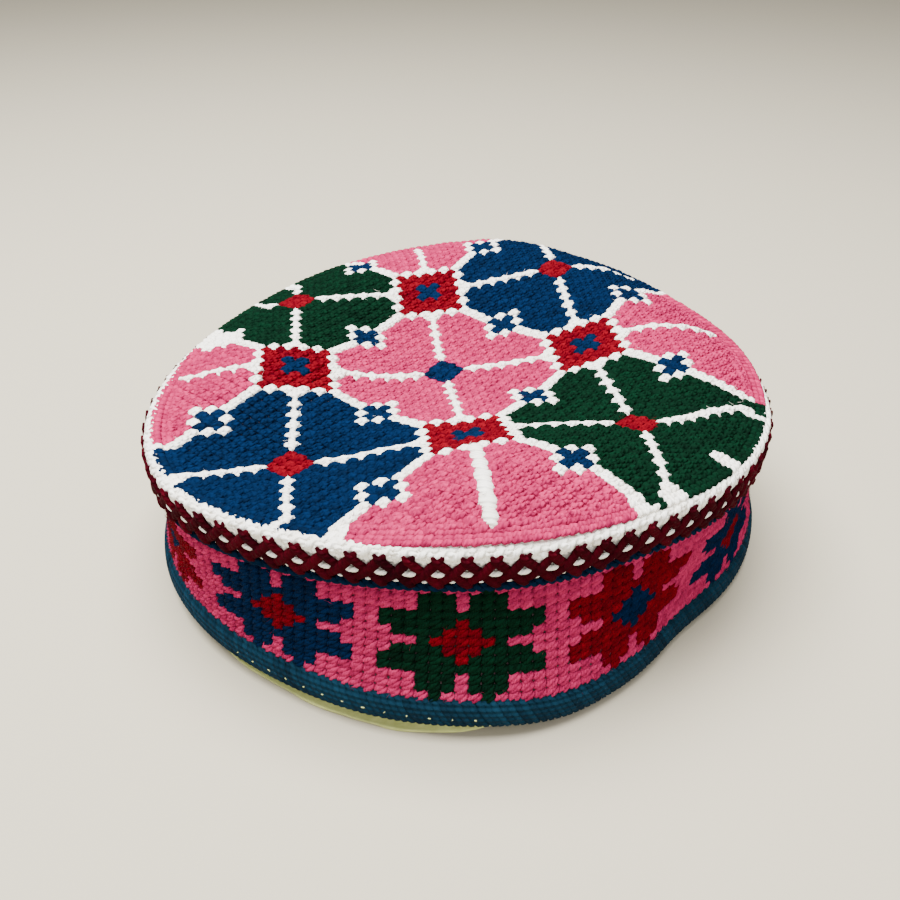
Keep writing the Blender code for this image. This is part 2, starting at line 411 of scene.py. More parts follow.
def read_ring(grid: np.ndarray, angle: np.ndarray, row: np.ndarray) -> np.ndarray:
    """Reads a grid kept for each angle anywhere, straight between its entries.

    Args:
        grid: a line of values for each angle of a skin.
        angle: angles in radians.
        row: places along the lines, in steps.
    Returns:
        The values there.
    """
    a = np.mod(angle, 2 * math.pi) / (2 * math.pi) * SKIN_ANGLES
    i, j = np.floor(a).astype(int) % SKIN_ANGLES, np.floor(row).astype(int)
    k, u, v = (i + 1) % SKIN_ANGLES, a - np.floor(a), row - j
    near = (1 - v) * grid[i, j] + v * grid[i, j + 1]
    return (1 - u) * near + u * ((1 - v) * grid[k, j] + v * grid[k, j + 1])


@dataclass
class Seats:
    """Places on a skin: points with directions along, up the skin and out of it, a row each."""

    point: np.ndarray
    along: np.ndarray
    up: np.ndarray
    out: np.ndarray

    def turned(self, angle: np.ndarray | float) -> "Seats":
        """The same seats turned about their outward direction, in radians."""
        c, s = np.cos(angle), np.sin(angle)
        c, s = np.broadcast_to(c, len(self.point))[:, None], np.broadcast_to(s, len(self.point))[:, None]
        return Seats(self.point, self.along * c + self.up * s, self.up * c - self.along * s, self.out)

    def facing(self, heading: np.ndarray) -> "Seats":
        """The same seats with along turned to a heading in the plan, in radians from +X."""
        level = radial(heading)
        along = unit(level - np.sum(level * self.out, -1, keepdims=True) * self.out)
        return Seats(self.point, along, np.cross(self.out, along), self.out)

    def shifted(self, step: float) -> "Seats":
        """The same seats moved along their up direction."""
        return Seats(self.point + step * self.up, self.along, self.up, self.out)

    def picked(self, mask: np.ndarray) -> "Seats":
        """The seats where the mask is true."""
        return Seats(self.point[mask], self.along[mask], self.up[mask], self.out[mask])


class WallSkin:
    """The outer wall as a smooth radius for each angle and height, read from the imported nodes."""

    NODES = ("hem_binding", "side_band", "band_cord", "zigzag_band", "rim_braid")
    SOFTEN = (1, 4, 6, 4, 1)
    SPAN_ROUND, SPAN_UP = math.radians(1.2), 0.8 * MM

    def __init__(self, nodes: dict[str, bpy.types.Object]) -> None:
        """Reads the nodes by rays towards the axis.

        Args:
            nodes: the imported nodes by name.
        """
        verts: list[Vector] = []
        faces: list[tuple[int, ...]] = []
        owner: list[int] = []
        for k, name in enumerate(self.NODES):
            start, mesh = len(verts), nodes[name].data
            verts += [nodes[name].matrix_world @ v.co for v in mesh.vertices]
            faces += [tuple(start + i for i in p.vertices) for p in mesh.polygons]
            owner += [k] * len(mesh.polygons)
        tree = BVHTree.FromPolygons(verts, faces)
        top = max(v.z for v in verts)
        self.heights = np.arange(0.5 * SKIN_STEP, top, SKIN_STEP)
        self.angles = around(SKIN_ANGLES)
        radius = np.full((SKIN_ANGLES, len(self.heights)), np.nan)
        holder = np.full(radius.shape, -1)
        for i, a in enumerate(self.angles):
            way = Vector((math.cos(a), math.sin(a), 0.0))
            for j, z in enumerate(self.heights):
                hit = tree.ray_cast(Vector((*AXIS, z)) + RAY_START * way, -way, RAY_DEPTH)
                if hit[0] is not None:
                    radius[i, j] = RAY_START - hit[3]
                    holder[i, j] = owner[hit[2]]
        self.low = {name: self._edge(holder == k, low=True) for k, name in enumerate(self.NODES)}
        self.high = {name: self._edge(holder == k, low=False) for k, name in enumerate(self.NODES)}
        for i in range(SKIN_ANGLES):
            known = ~np.isnan(radius[i])
            radius[i] = np.interp(self.heights, self.heights[known], radius[i][known])
        soft = low_pass(radius, SKIN_HARMONICS)
        padded = np.pad(soft, ((0, 0), (2, 2)), mode="edge")
        count = soft.shape[1]
        self.radius = sum(w * padded[:, k : k + count] for k, w in enumerate(self.SOFTEN)) / sum(self.SOFTEN)

    def _edge(self, held: np.ndarray, low: bool) -> np.ndarray:
        """Lowest or highest height that a node shows at each angle."""
        z = np.where(held, self.heights[None, :], np.inf if low else -np.inf)
        edge = z.min(axis=1) if low else z.max(axis=1)
        edge = edge + (-0.5 if low else 0.5) * SKIN_STEP
        bad = ~np.isfinite(edge)
        if bad.any():
            good = np.flatnonzero(~bad)
            edge[bad] = np.interp(np.flatnonzero(bad), good, edge[good], period=SKIN_ANGLES)
        return low_pass(edge, SKIN_HARMONICS)

    def low_at(self, node: str, angle: np.ndarray) -> np.ndarray:
        """Height of a node's lower edge at angles in radians."""
        return np.interp(angle, self.angles, self.low[node], period=2 * math.pi)

    def high_at(self, node: str, angle: np.ndarray) -> np.ndarray:
        """Height of a node's upper edge at angles in radians."""
        return np.interp(angle, self.angles, self.high[node], period=2 * math.pi)

    def rim_top(self, angle: np.ndarray) -> np.ndarray:
        """Height of the rim braid's top."""
        return self.high_at("rim_braid", angle)

    def radius_at(self, angle: np.ndarray, z: np.ndarray) -> np.ndarray:
        """Radius of the wall, straight between the angles and heights that were read."""
        return read_ring(self.radius, angle, np.clip(z / SKIN_STEP - 0.5, 0, len(self.heights) - 1.001))

    def points(self, angle: np.ndarray, z: np.ndarray, off: np.ndarray | float = 0.0) -> np.ndarray:
        """Points of the wall, or off it along the radius."""
        r = self.radius_at(angle, z) + off
        return np.stack([*plan(r, angle), z + 0 * r], -1)

    def seats(self, angle: np.ndarray, z: np.ndarray) -> Seats:
        """Seats on the wall with along running round it and up running up it."""
        da, dz = self.SPAN_ROUND, self.SPAN_UP
        along = unit(self.points(angle + da, z) - self.points(angle - da, z))
        up = unit(self.points(angle, z + dz) - self.points(angle, z - dz))
        out = unit(np.cross(along, up))
        return Seats(self.points(angle, z), along, np.cross(out, along), out)


class CrownSkin:
    """The crown's top as a smooth height over the plan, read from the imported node."""

    SPAN = 1.2 * MM

    def __init__(self, node: bpy.types.Object) -> None:
        """Reads the node by rays from above.

        Args:
            node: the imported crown.
        """
        verts = [node.matrix_world @ v.co for v in node.data.vertices]
        tree = BVHTree.FromPolygons(verts, [tuple(p.vertices) for p in node.data.polygons])
        self.angles = around(SKIN_ANGLES)
        edge = np.zeros(SKIN_ANGLES)
        for i, a in enumerate(self.angles):
            reach = CROWN_SURE
            while self._drop(tree, reach, a) is not None:
                reach += SKIN_STEP
            edge[i] = reach - SKIN_STEP
        self.edge = low_pass(edge, SKIN_HARMONICS)
        grid = np.zeros((SKIN_ANGLES, CROWN_RINGS + 1))
        for i, a in enumerate(self.angles):
            for j in range(CROWN_RINGS + 1):
                hit = self._drop(tree, CROWN_SHARE * edge[i] * j / CROWN_RINGS, a)
                grid[i, j] = hit if hit is not None else grid[i, j - 1]
        grid = low_pass(grid, SKIN_HARMONICS)
        for _ in range(CROWN_PASSES):
            grid[:, 1:-1] = (grid[:, :-2] + 2 * grid[:, 1:-1] + grid[:, 2:]) / 4
        self.grid = grid

    @staticmethod
    def _drop(tree: BVHTree, reach: float, angle: float) -> float | None:
        """Height of the crown's top at a radius and angle, or None past its edge."""
        spot = Vector((*plan(reach, angle), RAY_HIGH))
        hit = tree.ray_cast(spot, Vector((0, 0, -1)))
        return None if hit[0] is None else hit[0].z

    def polar(self, x: np.ndarray, y: np.ndarray) -> tuple[np.ndarray, np.ndarray]:
        """Radius and angle of a place in the plan."""
        return np.hypot(x - AXIS[0], y - AXIS[1]), np.arctan2(y - AXIS[1], x - AXIS[0])

    def edge_at(self, angle: np.ndarray) -> np.ndarray:
        """Radius of the crown's edge at angles in radians."""
        return np.interp(angle, self.angles, self.edge, period=2 * math.pi)

    def inside(self, x: np.ndarray, y: np.ndarray) -> np.ndarray:
        """Distance in from the crown's edge."""
        r, a = self.polar(x, y)
        return self.edge_at(a) - r

    def height(self, x: np.ndarray, y: np.ndarray) -> np.ndarray:
        """Height of the crown over places in the plan."""
        r, a = self.polar(x, y)
        row = np.clip(r / (CROWN_SHARE * self.edge_at(a)) * CROWN_RINGS, 0, CROWN_RINGS - 0.001)
        return read_ring(self.grid, a, row)

    def seats(self, x: np.ndarray, y: np.ndarray, turn: float) -> Seats:
        """Seats on the crown with along turned from +X by an angle in radians."""
        d = self.SPAN
        sx = (self.height(x + d, y) - self.height(x - d, y)) / (2 * d)
        sy = (self.height(x, y + d) - self.height(x, y - d)) / (2 * d)
        one = np.ones_like(x)
        out = unit(np.stack([-sx, -sy, one], -1))
        c, s = math.cos(turn), math.sin(turn)
        along = unit(np.stack([c * one, s * one, c * sx + s * sy], -1))
        return Seats(np.stack([x, y, self.height(x, y)], -1), along, np.cross(out, along), out)


@dataclass
class Template:
    """One low stitch leg of size two along x, with the loops that a joined mesh repeats."""

    verts: np.ndarray
    loops: np.ndarray
    starts: np.ndarray
    uv: np.ndarray


def leg_template(sides: int, rings: int, fullness: float = 2.6) -> Template:
    """Makes a plump rounded leg from a sphere, its poles at its two ends.

    Args:
        sides: faces round the yarn.
        rings: rows of faces along it.
        fullness: 2 is an ellipse, and more is blunter at the ends.
    Returns:
        The leg's vertices, loops and UV.
    """
    bm = bmesh.new()
    bmesh.ops.create_uvsphere(bm, u_segments=sides, v_segments=rings, radius=1.0)
    flat = np.array([(v.co.z, v.co.x, v.co.y) for v in bm.verts])
    girth = np.hypot(flat[:, 1], flat[:, 2])
    full = np.clip(1 - np.abs(flat[:, 0]) ** fullness, 0, 1) ** (1 / fullness)
    scale = np.where(girth > TINY, full / np.maximum(girth, TINY), 0.0)
    wound = np.arctan2(flat[:, 2], flat[:, 1]) / (2 * math.pi)
    loops, starts, uv = [], [], []
    for face in bm.faces:
        ids = [v.index for v in face.verts]
        turns = [wound[i] for i in ids if girth[i] > TINY]
        split = max(turns) - min(turns) > 0.5
        starts.append(len(loops))
        mean = np.mean([t + (1 if split and t < 0 else 0) for t in turns])
        for i in ids:
            turn = wound[i] + (1 if split and wound[i] < 0 else 0)
            uv.append((flat[i, 0], mean if girth[i] <= TINY else turn))
        loops += ids
    bm.free()
    flat[:, 1:] *= scale[:, None]
    return Template(flat, np.array(loops), np.array(starts), np.array(uv))


def placed(name: str, data: bpy.types.ID) -> bpy.types.Object:
    """Puts a new object with its data in the scene."""
    thing = bpy.data.objects.new(name, data)
    bpy.context.scene.collection.objects.link(thing)
    return thing


def mesh_object(
    name: str,
    verts: np.ndarray,
    loops: np.ndarray,
    starts: np.ndarray,
    uv: np.ndarray,
    tone: np.ndarray,
) -> bpy.types.Object:
    """Builds one smooth-shaded mesh object from arrays.

    Args:
        name: the object's name.
        verts: points, a row each.
        loops: vertex of each face corner.
        starts: first corner of each face.
        uv: yarn coordinates of each corner.
        tone: lightness of each point, from 0 to 1; on stitch legs it holds painted shade at their ends and
            undersides.
    Returns:
        The object, linked to the scene.
    """
    mesh = bpy.data.meshes.new(name)
    mesh.vertices.add(len(verts))
    mesh.vertices.foreach_set("co", verts.astype(np.float32).ravel())
    mesh.loops.add(len(loops))
    mesh.loops.foreach_set("vertex_index", loops.astype(np.int32))
    mesh.polygons.add(len(starts))
    mesh.polygons.foreach_set("loop_start", starts.astype(np.int32))
    mesh.polygons.foreach_set("use_smooth", np.ones(len(starts), dtype=bool))
    mesh.uv_layers.new(name="Yarn").data.foreach_set("uv", uv.astype(np.float32).ravel())
    layer = mesh.attributes.new("tone", "FLOAT", "POINT")
    layer.data.foreach_set("value", tone.astype(np.float32))
    mesh.update(calc_edges=True)
    mesh.validate()
    return placed(name, mesh)


class StitchBuilder:
    """Gathers stitch legs and joins them into one mesh."""

    # How much of the wander goes to turns, sizes and heights
    TURN, SIZE, LIFT = 1.1, 0.8, 0.06 * MM

    # Lightness of a leg, its spread, and how far painted shade darkens its ends and underside, where they
    # tuck under the cloth and the neighbouring legs
    TONE, TONE_SPREAD = 0.58, 0.20
    END_SHADE, LOW_SHADE, LOW_FROM = 0.42, 0.25, 0.3

    def __init__(self, template: Template, seed: int) -> None:
        """Keeps the leg that is repeated and the seed of its small irregularities."""
        self.template = template
        self.random = np.random.default_rng(seed)
        self.batches: list[tuple[Template, np.ndarray, np.ndarray, np.ndarray]] = []

    def add(self, seats: Seats, size: StitchSize, jitter: float = 0.07,
            leg: Template | None = None) -> None:
        """Adds a leg at each seat, lying along it.

        Args:
            seats: where the legs lie.
            size: the leg's sizes.
            jitter: how far sizes, turns and places wander, as a fraction.
            leg: another leg than the builder's own.
        """
        count = len(seats.point)
        if not count:
            return
        wander = self.random.normal(0, jitter, (count, 6))
        seats = seats.turned(wander[:, 0] * self.TURN)
        leg = leg or self.template
        t = leg.verts
        half = 0.5 * np.array([size.length, size.width, size.height])
        half = half[None, :] * (1 + self.SIZE * wander[:, 1:4])
        lift = (-size.sink + self.LIFT * wander[:, 4] / max(jitter, TINY))[:, None]
        x = half[:, 0:1] * t[None, :, 0]
        y = half[:, 1:2] * t[None, :, 1]
        z = half[:, 2:3] * t[None, :, 2] - size.arch * t[None, :, 0] ** 2 + lift
        verts = (
            seats.point[:, None, :]
            + x[..., None] * seats.along[:, None, :]
            + y[..., None] * seats.up[:, None, :]
            + z[..., None] * seats.out[:, None, :]
        )
        uv = np.repeat(leg.uv[None], count, axis=0)
        uv[..., 0] *= half[:, 0:1] / MM
        tone = self.TONE + self.TONE_SPREAD * self.random.normal(0, 1, count)[:, None]
        # Painted shade: each leg's tone is darkened towards its ends and underside
        ends, low = np.abs(t[:, 0]) ** 3, np.clip(self.LOW_FROM - t[:, 2], 0, 1)
        deep = self.END_SHADE * ends + self.LOW_SHADE * low
        self.batches.append((leg, verts, uv, np.clip(tone - deep[None, :], 0, 1)))

    def build(self, name: str) -> bpy.types.Object | None:
        """Joins the gathered legs into an object, or gives None if there are none."""
        if not self.batches:
            return None
        loops, starts = [], []
        base = corner = 0
        for leg, verts, _, _ in self.batches:
            count, per = verts.shape[:2]
            each = np.arange(count)[:, None]
            loops.append((leg.loops[None, :] + per * each).ravel() + base)
            starts.append((leg.starts[None, :] + len(leg.loops) * each).ravel() + corner)
            base += count * per
            corner += count * len(leg.loops)
        return mesh_object(
            name,
            np.concatenate([verts.reshape(-1, 3) for _, verts, _, _ in self.batches]),
            np.concatenate(loops),
            np.concatenate(starts),
            np.concatenate([uv.reshape(-1, 2) for _, _, uv, _ in self.batches]),
            np.concatenate([tone.ravel() for _, _, _, tone in self.batches]),
        )


def tube_object(name: str, paths: list[np.ndarray], width: list[np.ndarray], outs: list[np.ndarray],
                closed: bool, sides: int, flat: float, seed: int) -> bpy.types.Object:
    """Sweeps an oval yarn along many paths and joins them into one mesh.

    Args:
        name: the object's name.
        paths: points along each yarn.
        width: full width of the yarn at each point.
        outs: outward direction at each point, which the oval's thin way follows.
        closed: whether each path runs round to its start.
        sides: faces round the yarn.
        flat: the oval's height over its width.
        seed: seed of the yarn's lightness.
    Returns:
        The joined object.
    """
    random = np.random.default_rng(seed)
    turn = np.arange(sides) * 2 * math.pi / sides
    all_verts, all_loops, all_starts, all_uv, all_tone = [], [], [], [], []
    base = corner = 0
    for path, w, out in zip(paths, width, outs):
        n = len(path)
        if closed:
            ahead, behind = np.roll(path, -1, 0), np.roll(path, 1, 0)
        else:
            ahead, behind = np.vstack([path[1:], path[-1:]]), np.vstack([path[:1], path[:-1]])
        along = unit(ahead - behind)
        side = unit(np.cross(out, along))
        over = np.cross(along, side)
        wide = np.cos(turn)[None, :, None] * side[:, None, :]
        high = flat * np.sin(turn)[None, :, None] * over[:, None, :]
        verts = path[:, None, :] + 0.5 * w[:, None, None] * (wide + high)
        run = np.concatenate([[0], np.cumsum(np.linalg.norm(np.diff(path, axis=0), axis=1))]) / MM
        spans = n if closed else n - 1
        i = np.arange(spans)[:, None]
        j = np.arange(sides)[None, :]
        i2, j2 = (i + 1) % n, (j + 1) % sides
        quads = np.stack([i * sides + j, i2 * sides + j, i2 * sides + j2, i * sides + j2], -1).reshape(-1, 4)
        far = np.where(i + 1 < n, run[(i + 1) % n], run[-1] + run[1])
        near = run[i] + 0 * j
        corners = ((near, j), (far + 0 * j, j), (far + 0 * j, j + 1), (near, j + 1))
        uv = np.stack([np.stack([u, v / sides + 0 * i], -1) for u, v in corners], 2).reshape(-1, 2)
        loops = [quads.ravel()]
        starts = [np.arange(len(quads)) * 4]
        used = 4 * len(quads)
        if not closed:
            first, last = np.arange(sides)[::-1], (n - 1) * sides + np.arange(sides)
            for cap, place in ((first, run[0]), (last, run[-1])):
                loops.append(cap)
                starts.append(np.array([used]))
                used += sides
                uv = np.vstack([uv, np.stack([np.full(sides, place), cap % sides / sides], -1)])
        all_verts.append(verts.reshape(-1, 3))
        all_loops.append(np.concatenate(loops) + base)
        all_starts.append(np.concatenate(starts) + corner)
        all_uv.append(uv)
        tone = np.clip(YARN_TONE + YARN_SPREAD * random.normal(), 0, 1)
        all_tone.append(np.full(n * sides, float(tone)))
        base += n * sides
        corner += used
    thing = mesh_object(name, *map(np.concatenate, (all_verts, all_loops, all_starts, all_uv, all_tone)))
    bm = bmesh.new()
    bm.from_mesh(thing.data)
    bmesh.ops.recalc_face_normals(bm, faces=bm.faces)
    bm.to_mesh(thing.data)
    bm.free()
    return thing


def add_node(tree: bpy.types.NodeTree, kind: str, settings: dict | None = None,
             inputs: dict | None = None) -> bpy.types.Node:
    """Adds a shader node with its settings, values and links.

    Args:
        tree: the material's tree.
        kind: the node's type.
        settings: values of the node's own fields.
        inputs: a value or a socket to link, by input name or number.
    Returns:
        The node.
    """
    node = tree.nodes.new(kind)
    for field_name, value in (settings or {}).items():
        setattr(node, field_name, value)
    for key, value in (inputs or {}).items():
        if isinstance(value, bpy.types.NodeSocket):
            tree.links.new(value, node.inputs[key])
        else:
            node.inputs[key].default_value = value
    return node


def new_material(name: str) -> tuple[bpy.types.Material, bpy.types.NodeTree, bpy.types.Node]:
    """Makes a node material and gives it with its tree and its Principled shader."""
    made = bpy.data.materials.new(name)
    made.use_nodes = True
    shader = next(n for n in made.node_tree.nodes if n.type == "BSDF_PRINCIPLED")
    return made, made.node_tree, shader


def wool_material(name: str, finish: WoolFinish) -> bpy.types.Material:
    """Dyed two-ply yarn: each stitch has its own tone, darkened by painted shade at its ends and underside,
    and a twist and stray fibres break its light.

    Args:
        name: what the real yarn is.
        finish: its colours and feel.
    Returns:
        The material.
    """
    made, tree, shader = new_material(name)
    place = add_node(tree, "ShaderNodeTexCoord")
    tone = add_node(tree, "ShaderNodeAttribute", {"attribute_name": "tone"})
    blotch = add_node(tree, "ShaderNodeTexNoise", None,
                      {"Vector": place.outputs["Object"], "Scale": 700.0, "Detail": 3.0})
    blend = add_node(tree, "ShaderNodeMath", {"operation": "ADD"},
                     {0: tone.outputs["Fac"], 1: blotch.outputs["Fac"]})
    spread = add_node(tree, "ShaderNodeMapRange", None,
                      {"Value": blend.outputs[0], "From Min": 0.45, "From Max": 1.45})
    colour = add_node(tree, "ShaderNodeMix", {"data_type": "RGBA"},
                      {0: spread.outputs[0], 6: linear(finish.shade), 7: linear(finish.light)})
    split = add_node(tree, "ShaderNodeSeparateXYZ", None, {0: place.outputs["UV"]})
    run = add_node(tree, "ShaderNodeMath", {"operation": "MULTIPLY"}, {0: split.outputs[0], 1: 3.6})
    wound = add_node(tree, "ShaderNodeMath", {"operation": "MULTIPLY_ADD"},
                     {0: split.outputs[1], 1: 4 * math.pi, 2: run.outputs[0]})
    twist = add_node(tree, "ShaderNodeMath", {"operation": "SINE"}, {0: wound.outputs[0]})
    fibre = add_node(tree, "ShaderNodeTexNoise", None,
                     {"Vector": place.outputs["Object"], "Scale": 4200.0, "Detail": 2.0, "Roughness": 0.6})
    ply = add_node(tree, "ShaderNodeBump", None,
                   {"Strength": 0.75, "Distance": 0.22 * MM, "Height": twist.outputs[0]})
    fuzz = add_node(tree, "ShaderNodeBump", None,
                    {"Strength": 0.6, "Distance": 0.16 * MM, "Height": fibre.outputs["Fac"],
                     "Normal": ply.outputs[0]})
    tree.links.new(colour.outputs[2], shader.inputs["Base Color"])
    tree.links.new(fuzz.outputs[0], shader.inputs["Normal"])
    shader.inputs["Roughness"].default_value = finish.roughness
    shader.inputs["Specular IOR Level"].default_value = 0.03
    shader.inputs["Sheen Weight"].default_value = finish.sheen
    shader.inputs["Sheen Roughness"].default_value = 0.45
    shader.inputs["Sheen Tint"].default_value = linear(finish.light)
    return made


def cloth_material(name: str, finish: ClothFinish) -> bpy.types.Material:
    """Plain woven cotton: crossing threads in relief, with slubs that shift the colour.

    Args:
        name: what the real cloth is.
        finish: its colours and weave.
    Returns:
        The material.
    """
    made, tree, shader = new_material(name)
    place = add_node(tree, "ShaderNodeTexCoord")
    split = add_node(tree, "ShaderNodeSeparateXYZ", None, {0: place.outputs["UV"]})
    turns = 2 * math.pi * MM / finish.thread
    warp = add_node(tree, "ShaderNodeMath", {"operation": "MULTIPLY"}, {0: split.outputs[0], 1: turns})
    weft = add_node(tree, "ShaderNodeMath", {"operation": "MULTIPLY"}, {0: split.outputs[1], 1: turns})
    rise_a = add_node(tree, "ShaderNodeMath", {"operation": "SINE"}, {0: warp.outputs[0]})
    rise_b = add_node(tree, "ShaderNodeMath", {"operation": "SINE"}, {0: weft.outputs[0]})
    weave = add_node(tree, "ShaderNodeMath", {"operation": "MULTIPLY"},
                     {0: rise_a.outputs[0], 1: rise_b.outputs[0]})
    slub = add_node(tree, "ShaderNodeTexNoise", None,
                    {"Vector": place.outputs["Object"], "Scale": 420.0, "Detail": 4.0})
    colour = add_node(tree, "ShaderNodeMix", {"data_type": "RGBA"},
                      {0: slub.outputs["Fac"], 6: linear(finish.shade), 7: linear(finish.light)})
    threads = add_node(tree, "ShaderNodeBump", None,
                       {"Strength": 0.7, "Distance": finish.depth, "Height": weave.outputs[0]})
    lumps = add_node(tree, "ShaderNodeBump", None,
                     {"Strength": 0.5, "Distance": 0.5 * MM, "Height": slub.outputs["Fac"],
                      "Normal": threads.outputs[0]})
    tree.links.new(colour.outputs[2], shader.inputs["Base Color"])
    tree.links.new(lumps.outputs[0], shader.inputs["Normal"])
    shader.inputs["Roughness"].default_value = finish.roughness
    shader.inputs["Sheen Weight"].default_value = 0.15
    return made


def dress(thing: bpy.types.Object | None, region: Region, made: bpy.types.Material,
          stands_for: str | None = None) -> None:
    """Gives a piece its material and body, hides the node it stands for, and logs its face count."""
    if thing is None:
        return
    thing.data.materials.clear()
    thing.data.materials.append(made)
    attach(thing, BODY)
    if stands_for:
        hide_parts(stands_for)
    LOG.info("%s: %d faces", thing.name, len(thing.data.polygons))


class ClothShells:
    """The cloth under the stitches and the lining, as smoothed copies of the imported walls."""

    MERGE = 0.01 * MM
    LEVEL = 0.75
    MEAN_RADIUS_MM = 93.0

    def __init__(self, nodes: dict[str, bpy.types.Object]) -> None:
        """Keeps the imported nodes."""
        self.nodes = nodes

    def copy(self, node: str, name: str, inset: float) -> bpy.types.Object:
        """Copies a node's mesh, draws it in a little and smooths it.

        Args:
            node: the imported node.
            name: the new piece's name.
            inset: how far every face moves in.
        Returns:
            The piece.
        """
        bm = bmesh.new()
        bm.from_mesh(self.nodes[node].data)
        bmesh.ops.transform(bm, matrix=self.nodes[node].matrix_world, verts=bm.verts)
        bmesh.ops.remove_doubles(bm, verts=bm.verts, dist=self.MERGE)
        bmesh.ops.recalc_face_normals(bm, faces=bm.faces)
        bm.normal_update()
        ways = [v.normal.copy() for v in bm.verts]
        for v, way in zip(bm.verts, ways):
            v.co -= inset * way
        for f in bm.faces:
            f.smooth = True
        layer = bm.loops.layers.uv.new("Cloth")
        for f in bm.faces:
            middle = f.calc_center_median()
            home = math.atan2(middle.y - AXIS[1], middle.x - AXIS[0])
            level = abs(f.normal.z) > self.LEVEL
            for loop in f.loops:
                p = loop.vert.co
                if level:
                    loop[layer].uv = (p.x / MM, p.y / MM)
                else:
                    a = math.atan2(p.y - AXIS[1], p.x - AXIS[0])
                    a += 2 * math.pi * round((home - a) / (2 * math.pi))
                    loop[layer].uv = (a * self.MEAN_RADIUS_MM, p.z / MM)
        mesh = bpy.data.meshes.new(name)
        bm.to_mesh(mesh)
        bm.free()
        thing = placed(name, mesh)
        soft = thing.modifiers.new("Soft", "SUBSURF")
        soft.levels = soft.render_levels = 1
        return thing


class Lining:
    """The cotton lining, whose edge has slipped out under the lifted hem."""

    def __init__(self, skin: WallSkin, size: LiningSize) -> None:
        """Keeps the skin and the sizes."""
        self.skin, self.size = skin, size

    def hold_in(self, thing: bpy.types.Object) -> None:
        """Draws the slipped edge in to what shows past the hem, and ruffles it."""
        s = self.size
        for v in thing.data.vertices:
            x, y = v.co.x - AXIS[0], v.co.y - AXIS[1]
            r, a = math.hypot(x, y), math.atan2(y, x)
            low = float(self.skin.low_at("hem_binding", np.array([a]))[0])
            hem = float(self.skin.radius_at(np.array([a]), np.array([low + s.gauge_height]))[0])
            if v.co.z > low + s.gauge_height or r < hem - s.reach:
                continue
            part = min(1.0, abs(math.degrees(a) - s.middle_deg) / s.half_span_deg)
            span = math.cos(math.radians(90) * part)
            show = s.show_end + (s.show_middle - s.show_end) * span
            swell = s.ruffle_even + s.ruffle_wander * math.sin(s.wander_share * s.ruffles * a)
            ruffle = s.ruffle * math.sin(s.ruffles * a) * swell
            keep = min(r, hem + show + ruffle)
            v.co.x, v.co.y = AXIS[0] + x * keep / r, AXIS[1] + y * keep / r


